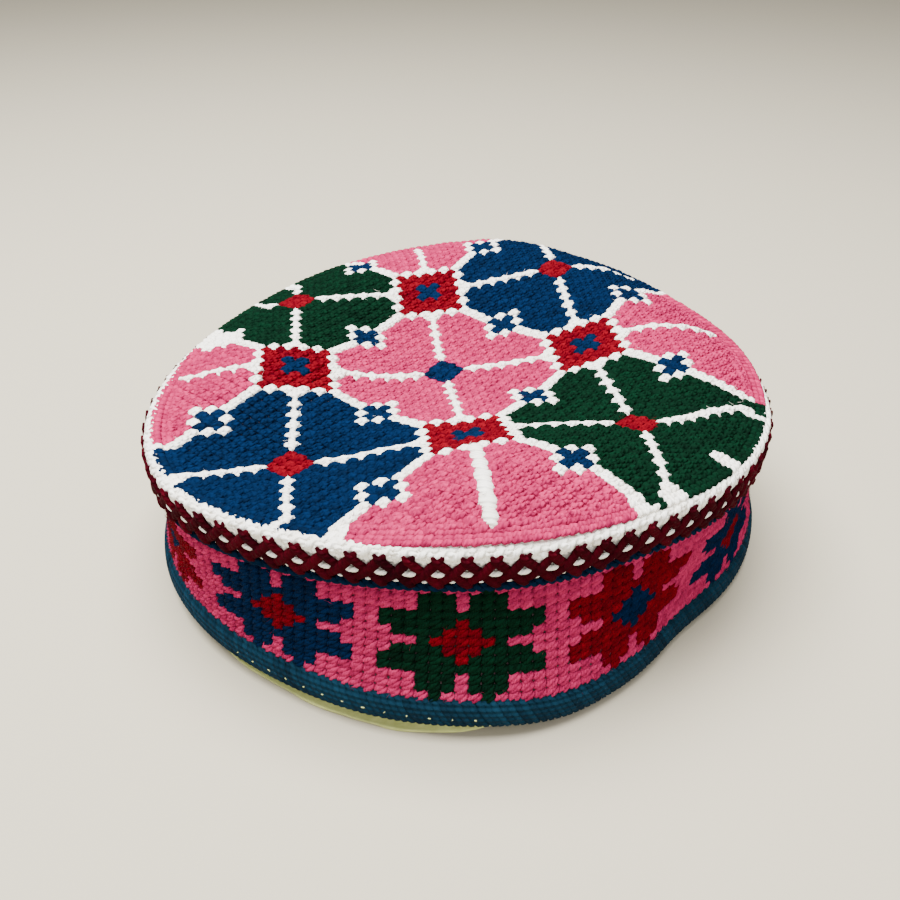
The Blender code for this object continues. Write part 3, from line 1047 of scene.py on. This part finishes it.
class CrownStitches:
    """The crown's staggered cross stitch in coloured flowers on a white lattice."""

    def __init__(self, skin: CrownSkin, wall: WallSkin, pattern: CrownPattern) -> None:
        """Keeps the skins and the pattern."""
        self.skin, self.wall, self.pattern = skin, wall, pattern
        self.seats: dict[Wool, Seats] = {}

    def _pulled(self, grid: np.ndarray) -> np.ndarray:
        """Lattice places moved as the stitcher's hand and the puffed cloth moved them."""
        p = self.pattern
        moved = grid.astype(float).copy()
        for (column, row), shift in CROWN_PULLS.items():
            away = np.sum((grid - p.repeat * np.array([column, row])) ** 2, axis=1)
            moved += np.exp(-0.5 * away / p.pull_reach**2)[:, None] * np.array(shift)
        return moved

    def _in_plan(self, x: float, y: float) -> tuple[float, float]:
        """Place in the plan of a place in the lattice, counted in stitch pitches."""
        p = self.pattern
        c, s = math.cos(math.radians(p.turn_deg)), math.sin(math.radians(p.turn_deg))
        return p.centre_x + p.pitch * (c * x - s * y), p.centre_y + p.pitch * (s * x + c * y)

    def _shown(self, x: float, y: float) -> bool:
        """Whether a motif's middle is near enough to the crown's middle to be stitched."""
        px, py = self._in_plan(x, y)
        return math.hypot(px - AXIS[0], py - AXIS[1]) < self.pattern.outer_limit

    def _home(self, x: float, y: float) -> tuple[int, int, float, float]:
        """Column and row of the flower that a place belongs to, and the place's distances from its middle."""
        repeat = self.pattern.repeat
        i, j = round(x / repeat), round(y / repeat)
        if (i + j) % 2:
            if abs(x - repeat * i) > abs(y - repeat * j):
                i += 1 if x > repeat * i else -1
            else:
                j += 1 if y > repeat * j else -1
        return i, j, abs(x - repeat * i), abs(y - repeat * j)

    def colour(self, x: float, y: float) -> Wool:
        """Colour of the stitch at a place in the lattice, counted in stitch pitches."""
        p = self.pattern
        repeat = p.repeat
        corner = [repeat * (math.floor(v / repeat) + 0.5) for v in (x, y)]
        if max(abs(x - corner[0]), abs(y - corner[1])) <= 0.5:
            return Wool.BLUE if self._shown(*corner) else Wool.WHITE
        tip = repeat
        square = [repeat * round(v / repeat) for v in (x, y)]
        if sum(square) // repeat % 2 and self._shown(*square):
            tip = p.petal_short * repeat
            off = max(abs(x - square[0]), abs(y - square[1]))
            if off <= p.square:
                return Wool.BLUE if off <= 0.5 else Wool.RED
        i, j, dx, dy = self._home(x, y)
        petal, centre = CROWN_FLOWERS.get((i, j), CROWN_OUTER_FLOWER)
        if self._shown(repeat * i, repeat * j):
            if dx + dy <= 1:
                return centre
        elif (dx > dy == 0 and abs(i) < abs(j)) or (dy > dx == 0 and abs(j) < abs(i)):
            return petal
        short, long = min(dx, dy), max(dx, dy)
        if p.petal_near <= short <= p.petal_wide and long <= tip and short + long <= p.petal_sum:
            return petal
        return Wool.WHITE

    def _spine(self, x: float, y: float) -> int:
        """Which way a white line runs through a place: 1 across, 2 away, and 0 where there is none."""
        if self.colour(x, y) is not Wool.WHITE:
            return 0
        _, _, dx, dy = self._home(x, y)
        return 1 if dy == 0 else 2 if dx == 0 else 0

    def build(self) -> dict[Wool, bpy.types.Object | None]:
        """Stitches the crown, a joined piece for each colour."""
        p = self.pattern
        far = int(p.field / p.pitch) + 2
        cells = [(a, b) for a in range(-far, far + 1) for b in range(-far, far + 1)]
        cells += [(a + 0.5, b + 0.5) for a, b in cells]
        grid = np.array(cells)
        x, y = self._in_plan(*self._pulled(grid).T)
        kept = self.skin.inside(x, y) > p.edge_clear
        grid, x, y = grid[kept], x[kept], y[kept]
        seats = self.skin.seats(x, y, math.radians(p.turn_deg))
        tints = np.array([self.colour(a, b).value for a, b in grid])
        spine = np.array([self._spine(a, b) for a, b in grid])
        wide = np.array([self._home(a, b)[1] < p.wide_column for a, b in grid])
        half = p.repeat / 2
        bold = np.all(np.abs(grid - half * np.round(grid / half)) <= 0.5, axis=1)
        angle = around(p.rim_legs)
        rims = []
        for row, sink in p.rim_rows_mm:
            reach = self.skin.edge_at(angle) + row * MM + p.rim_back * np.clip(np.sin(angle), 0, 1)
            rim_x, rim_y = plan(reach, angle)
            rim = self.skin.seats(rim_x, rim_y, 0.0).facing(angle + math.pi / 2)
            if row > 0:
                rim.point[:, 2] = np.maximum(rim.point[:, 2], self.wall.rim_top(angle) + p.rim_over)
            near = np.argmin((rim_x[:, None] - x) ** 2 + (rim_y[:, None] - y) ** 2, axis=1)
            rims.append((rim.turned(p.rim_turn), tints[near], replace(p.rim_leg, sink=sink * MM)))
        template = leg_template(6, 4, fullness=2.3)
        flat_pad = leg_template(4, 3)
        pieces: dict[Wool, bpy.types.Object | None] = {}
        for k, wool in enumerate((Wool.PINK, Wool.BLUE, Wool.GREEN, Wool.RED, Wool.WHITE)):
            held = tints == wool.value
            mine = seats.picked(held)
            self.seats[wool] = mine
            yarn = StitchBuilder(template, seed=11 + k)
            yarn.add(mine, p.pad, leg=flat_pad)
            top, under = (p.white_top, p.white_under) if wool is Wool.WHITE else (p.top, p.under)
            for mask, over, below in ((held & ~bold, top, under), (held & bold, p.bold, p.bold_under)):
                some = seats.picked(mask)
                yarn.add(some.turned(math.pi / 2 - p.under_slant), below)
                some = some.turned(math.radians(p.slant_deg))
                for side in (-1, 1):
                    yarn.add(some.shifted(side * p.twin), over, jitter=p.top_jitter)
            if wool is Wool.WHITE:
                for way, turn in ((1, 0.0), (2, math.pi / 2)):
                    for mask, size in ((~wide, p.spine), (wide, p.wide_spine)):
                        yarn.add(seats.picked((spine == way) & mask).turned(turn), size)
            for rim, rim_tints, leg in rims:
                yarn.add(rim.picked(rim_tints == wool.value), leg)
            pieces[wool] = yarn.build(f"crown_stitches_{wool.value}")
        return pieces


class SideStitches:
    """The side band's cross stitch, twelve flowers round a pink ground."""

    def __init__(self, skin: WallSkin, pattern: SidePattern) -> None:
        """Keeps the skin and the pattern."""
        self.skin, self.pattern = skin, pattern
        self.seats: dict[Wool, Seats] = {}

    def colour(self, column: int, row: int) -> Wool:
        """Colour of the cell at a column from the first flower's middle and a row from the middle row."""
        repeat = self.pattern.repeat
        flower = round(column / repeat)
        across = abs(column - repeat * flower)
        petal, centre = SIDE_FLOWERS[flower % len(SIDE_FLOWERS)]
        first, last, inner = SIDE_ROWS[abs(row)]
        if across <= inner:
            return centre
        return petal if first <= across <= last else Wool.PINK

    def build(self) -> dict[Wool, bpy.types.Object | None]:
        """Stitches the band, a joined piece for each colour."""
        p = self.pattern
        half = p.rows // 2
        cells = [(c, r) for c in range(p.columns) for r in range(-half, half + 1)]
        column = np.array([c for c, _ in cells], dtype=float)
        row = np.array([r for _, r in cells], dtype=float)
        angle = math.radians(p.first_deg) + column * 2 * math.pi / p.columns
        low = self.skin.low_at("side_band", angle) - p.under_low
        high = self.skin.high_at("side_band", angle) + p.over_top
        z = low + (high - low) * (row + half + 0.5) / p.rows
        seats = self.skin.seats(angle, z)
        tints = np.array([self.colour(c, r).value for c, r in cells])
        template = leg_template(6, 4, fullness=3.0)
        flat_pad = leg_template(4, 3)
        lean = math.radians(p.lean_deg)
        pieces: dict[Wool, bpy.types.Object | None] = {}
        for k, wool in enumerate((Wool.PINK, Wool.BLUE, Wool.GREEN, Wool.RED)):
            mine = seats.picked(tints == wool.value)
            self.seats[wool] = mine
            yarn = StitchBuilder(template, seed=31 + k)
            yarn.add(mine, p.pad, leg=flat_pad)
            yarn.add(mine.turned(-lean), p.under)
            for side in (-1, 1):
                yarn.add(mine.turned(lean).shifted(side * p.twin), p.leg)
            pieces[wool] = yarn.build(f"side_stitches_{wool.value}")
        return pieces


class RimBorder:
    """The white braid on the rim and the maroon herringbone under it."""

    def __init__(self, skin: WallSkin, crown: CrownSkin, border: Border, trim: Trim) -> None:
        """Keeps the skins and the sizes."""
        self.skin, self.crown, self.border, self.trim = skin, crown, border, trim

    def herringbone(self) -> bpy.types.Object:
        """Crossing maroon yarns in two hands, each laid over and under the other in turn."""
        b = self.border
        step = 2 * math.pi / b.repeats
        knots = np.array([-b.ear_reach, 0.0, 0.5, 1.0, 1.0 + b.ear_reach])
        drops = np.array([b.ear, b.first_cross, b.mid_cross, b.last_cross, b.foot])
        phase = np.linspace(knots[0], knots[-1], b.path_points)
        drop = np.interp(phase, knots, drops)
        paths, widths, outs = [], [], []
        for hand in (1, -1):
            for k in range(b.repeats):
                angle = math.radians(-90) + step * (k + hand * phase)
                z = self.skin.rim_top(angle) + drop
                over = b.lift + hand * b.weave * np.cos(2 * math.pi * phase)
                seats = self.skin.seats(angle, z)
                paths.append(seats.point + over[:, None] * seats.out)
                outs.append(seats.out)
                ends = np.clip(np.minimum(phase - phase[0], phase[-1] - phase) / b.taper, b.thin, 1)
                widths.append(b.yarn * ends)
        return tube_object("herringbone_maroon", paths, widths, outs, False, 6, b.flat, seed=51)

    def white_stitches(self) -> bpy.types.Object | None:
        """White ovals in the border's eyes, scallops above it and the plaited braid on the rim."""
        b, t = self.border, self.trim
        step = 2 * math.pi / b.repeats
        yarn = StitchBuilder(leg_template(6, 6), seed=61)
        k = np.arange(b.repeats)
        base = math.radians(-90) + step * k
        yarn.add(self.skin.seats(base, self.skin.rim_top(base) + b.mid_cross), b.oval)
        mid = base + step / 2
        yarn.add(self.skin.seats(mid, self.skin.rim_top(mid) + b.last_cross), b.knot)
        for side, short in b.scallops:
            angle = base + step * (0.5 + side)
            length = b.scallop.length * short
            z = self.skin.rim_top(angle) + b.ear - b.scallop_hang * length
            seats = self.skin.seats(angle, z).turned(math.pi / 2 - b.scallop_fan * side)
            yarn.add(seats, replace(b.scallop, length=length))
        for row, girth in enumerate(t.braid_girths_deg):
            odd = row % 2
            angle = (np.arange(t.braid_pitches) + 0.5 * odd) * 2 * math.pi / t.braid_pitches
            seats = self.braid_seats(angle, math.radians(girth))
            yarn.add(seats.turned(-t.braid_tilt if odd else t.braid_tilt), t.braid_leg)
        return yarn.build("braid_white")

    def braid_seats(self, angle: np.ndarray, girth: float) -> Seats:
        """Seats on the round braid, girth being the angle up from its outermost line."""
        tube = self.trim.braid_tube
        top = self.skin.rim_top(angle)
        ring = self.skin.radius_at(angle, top - tube) - tube
        way = radial(angle)
        out = math.cos(girth) * way + math.sin(girth) * RISE
        along = np.cross(RISE, way)
        middle = np.stack([*plan(ring, angle), top - tube], -1)
        return Seats(middle + tube * out, along, np.cross(out, along), out)

    def seam(self) -> bpy.types.Object:
        """White yarns laid in the seam, from the crown's edge down to the braid."""
        t = self.trim
        angle = around(2 * SKIN_ANGLES)
        edge = self.crown.edge_at(angle)
        high = self.crown.height(*plan(edge, angle)) - t.seam_drop
        low = np.minimum(self.skin.rim_top(angle) - t.seam_drop, high)
        paths = []
        for part in np.linspace(0, 1, t.seam_rows):
            reach = edge + t.seam_out + t.seam_step * part
            z = high + part * (low - high)
            paths.append(np.stack([*plan(reach, angle), z], -1))
        outs = [np.tile(RISE, (len(angle), 1))] * t.seam_rows
        widths = [np.full(len(angle), t.seam_yarn)] * t.seam_rows
        return tube_object("seam_white", paths, widths, outs, True, 8, t.seam_flat, seed=65)

    def cord(self) -> bpy.types.Object:
        """Two navy plies wound round each other under the border."""
        t = self.trim
        angle = around(t.cord_turns * t.cord_steps)
        off = 0.5 * t.cord_radius
        z = self.skin.rim_top(angle) - t.cord_drop
        seats = self.skin.seats(angle, z)
        paths, outs = [], []
        for ply in range(2):
            wind = t.cord_turns * angle + math.pi * ply
            swing = np.cos(wind)[:, None] * seats.up + np.sin(wind)[:, None] * seats.out
            paths.append(seats.point + off * swing - off * seats.out)
            outs.append(seats.out)
        width = [np.full(len(angle), t.cord_ply * t.cord_radius)] * 2
        return tube_object("cord_navy", paths, width, outs, True, 6, 1.0, seed=71)


class StrayFibres:
    """Short hairs that stand off the wool and soften its edges."""

    HAIR = leg_mm(2.2, 0.08, 0.08, -0.4, -0.2)
    SPREAD, LEAN, JITTER, SEEDS = 1.2 * MM, 0.45, 0.25, 999

    def __init__(self, seed: int) -> None:
        """Keeps the seed of the hairs' places."""
        self.random = np.random.default_rng(seed)

    def build(self, name: str, seats: Seats, share: float) -> bpy.types.Object | None:
        """Scatters hairs over seats.

        Args:
            name: the piece's name.
            seats: the stitches that shed the hairs.
            share: hairs for each seat.
        Returns:
            The joined hairs, or None if there are no seats.
        """
        count = int(share * len(seats.point))
        if not count:
            return None
        pick = self.random.integers(0, len(seats.point), count)
        near = seats.picked(pick)
        off = self.random.normal(0, self.SPREAD, (count, 2))
        near.point = near.point + off[:, :1] * near.along + off[:, 1:] * near.up
        near = near.turned(self.random.uniform(0, math.pi, count))
        lean = self.random.normal(0, self.LEAN, count)[:, None]
        along = unit(near.along + lean * near.out)
        near = Seats(near.point, along, near.up, np.cross(along, near.up))
        yarn = StitchBuilder(leg_template(3, 4), seed=int(self.random.integers(1, self.SEEDS)))
        yarn.add(near, self.HAIR, jitter=self.JITTER)
        return yarn.build(name)


class HemBinding:
    """Teal yarn wrapped over the hem in close ribs."""

    # A rib's points, its wander, how far it starts over the edge, stops short and lies in the wall
    POINTS, STRAY, OVER, SHORT, INSET = 9, 0.05, 0.5 * MM, 1.0 * MM, 0.45 * MM

    # Where a rib bends under, how far it goes in and down there, and its thin ends
    BEND, TUCK, SLANT, THIN, SWELL = 0.8, 1.3 * MM, 1.2, 0.6, 3.0
    # Share of the binding's height where the pale specks of painted highlight sit
    HIGHLIGHT_AT = 0.55

    def __init__(self, skin: WallSkin, trim: Trim) -> None:
        """Keeps the skin and the sizes."""
        self.skin, self.trim = skin, trim

    def ribs(self) -> bpy.types.Object:
        """The ribs, each from the binding's top edge down and round under the hem."""
        t = self.trim
        paths, widths, outs = [], [], []
        part = np.linspace(0, 1, self.POINTS)
        random = np.random.default_rng(81)
        for k in range(t.binding_ribs):
            angle = (k + self.STRAY * random.normal()) * 2 * math.pi / t.binding_ribs
            a = angle + part * math.radians(t.binding_lean_deg)
            low = self.skin.low_at("hem_binding", a)
            high = self.skin.high_at("hem_binding", a)
            z = high + self.OVER - part * (high - low - self.SHORT)
            wall = self.skin.points(a, z, -self.INSET)
            bend = np.clip((part - self.BEND) / (1 - self.BEND), 0, 1)
            way = radial(a)
            paths.append(wall - way * (self.TUCK * bend**2)[:, None])
            outs.append(unit(way - self.SLANT * RISE * bend[:, None]))
            ends = self.THIN + self.SWELL * np.minimum(part, 1 - part)
            widths.append(t.binding_yarn * np.clip(ends, self.THIN, 1))
        return tube_object("binding_teal", paths, widths, outs, False, 6, t.binding_flat, seed=82)

    def thread(self) -> bpy.types.Object | None:
        """A row of pale specks on the front of the hem, painted highlights where the binding's loops meet."""
        t = self.trim
        angle = np.radians(t.speck_first_deg + t.speck_step_deg * np.arange(t.specks))
        low = self.skin.low_at("hem_binding", angle)
        high = self.skin.high_at("hem_binding", angle)
        yarn = StitchBuilder(leg_template(6, 4), seed=85)
        yarn.add(self.skin.seats(angle, low + self.HIGHLIGHT_AT * (high - low)), t.speck, jitter=0.3)
        return yarn.build("binding_highlight_specks")


class Studio:
    """Floor, soft light and camera."""

    def floor(self) -> None:
        """A plain pale cotton ground."""
        bm = bmesh.new()
        bmesh.ops.create_grid(bm, x_segments=1, y_segments=1, size=FLOOR_SIDE / 2)
        mesh = bpy.data.meshes.new("floor")
        bm.to_mesh(mesh)
        bm.free()
        thing = placed("floor", mesh)
        made, tree, shader = new_material("pale cotton ground")
        shader.inputs["Base Color"].default_value = linear(FLOOR_COTTON)
        shader.inputs["Roughness"].default_value = 0.95
        mesh.materials.append(made)

    def light(self) -> None:
        """A large soft window of light from above and the left, with an even fill."""
        world = bpy.context.scene.world or bpy.data.worlds.new("Room")
        bpy.context.scene.world = world
        world.use_nodes = True
        back = next(n for n in world.node_tree.nodes if n.type == "BACKGROUND")
        back.inputs["Color"].default_value = linear(ROOM_LIGHT)
        back.inputs["Strength"].default_value = ROOM_STRENGTH
        self._area("key", *KEY_LIGHT)
        self._area("fill", *FILL_LIGHT)

    def _area(self, name: str, place: tuple[float, float, float], side: float, power: float) -> None:
        """Adds a square soft light that faces the cap."""
        data = bpy.data.lights.new(name, "AREA")
        data.size, data.energy = side, power
        thing = placed(name, data)
        thing.location = place
        thing.rotation_euler = (Vector(LIGHT_AIM) - Vector(place)).to_track_quat("-Z", "Y").to_euler()

    def camera(self) -> None:
        """The camera at the photograph's angle."""
        data = bpy.data.cameras.new("camera")
        data.lens, data.sensor_width = CAMERA_LENS_MM, SENSOR_MM
        data.clip_start = 0.01
        thing = placed("camera", data)
        turn = Matrix.Rotation(math.radians(CAMERA_TILT_DEG), 4, "X")
        roll = Matrix.Rotation(math.radians(CAMERA_ROLL_DEG), 4, "Z")
        thing.matrix_world = Matrix.Translation(CAMERA_PLACE) @ turn @ roll
        bpy.context.scene.camera = thing


def main() -> None:
    """Builds the dressed cap in order and reports each piece."""
    logging.basicConfig(level=logging.INFO, format="%(name)s: %(message)s")
    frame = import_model()
    nodes = frame["nodes"]
    wall = WallSkin(nodes)
    crown = CrownSkin(nodes["crown_panel"])
    LOG.info("skins read")

    wool = {w: wool_material(f"{w.value} wool yarn", f) for w, f in WOOL.items()}
    # The crown and side cloth under the stitches is very dark, as painted shade in the gaps between stitches
    shaded_canvas = cloth_material("cotton canvas", SHADED_CANVAS)
    cotton = cloth_material("cotton lining", COTTON)

    shells = ClothShells(nodes)
    for node, name, inset_mm, region, made in (
        ("crown_panel", "crown_canvas", 0.95, Region.CROWN, shaded_canvas),
        ("side_band", "side_canvas", 0.95, Region.SIDE, shaded_canvas),
        ("rim_braid", "braid_core", 0.1, Region.BRAID, wool[Wool.WHITE]),
        ("zigzag_band", "border_ground", 0.2, Region.BRAID, wool[Wool.WHITE]),
        ("hem_binding", "binding_core", 0.5, Region.BINDING, wool[Wool.TEAL]),
        ("lining_crown", "lining_top", 0.0, Region.LINING, cotton),
    ):
        dress(shells.copy(node, name, inset_mm * MM), region, made, node)
    lining = shells.copy("lining_wall", "lining_side", 0.0)
    Lining(wall, LiningSize()).hold_in(lining)
    dress(lining, Region.LINING, cotton, "lining_wall")

    fibres = StrayFibres(seed=91)
    for stitches, region in ((CrownStitches(crown, wall, CrownPattern()), Region.CROWN),
                             (SideStitches(wall, SidePattern()), Region.SIDE)):
        for tint, piece in stitches.build().items():
            dress(piece, region, wool[tint])
        for tint, seats in stitches.seats.items():
            share = WHITE_FIBRE_SHARE if tint is Wool.WHITE else FIBRE_SHARE
            hairs = fibres.build(f"{region.value}_fibres_{tint.value}", seats, share)
            dress(hairs, region, wool[tint])
    trim = Trim()
    border = RimBorder(wall, crown, Border(), trim)
    dress(border.herringbone(), Region.ZIGZAG, wool[Wool.MAROON])
    dress(border.white_stitches(), Region.BRAID, wool[Wool.WHITE])
    dress(border.seam(), Region.BRAID, wool[Wool.WHITE])
    dress(border.cord(), Region.CORD, wool[Wool.NAVY], "band_cord")
    hem = HemBinding(wall, trim)
    dress(hem.ribs(), Region.BINDING, wool[Wool.TEAL])
    # Pale specks coloured like the lining, as painted highlights on the hem
    dress(hem.thread(), Region.BINDING, cotton)

    studio = Studio()
    studio.floor()
    studio.light()
    studio.camera()


if __name__ == "__main__":
    main()
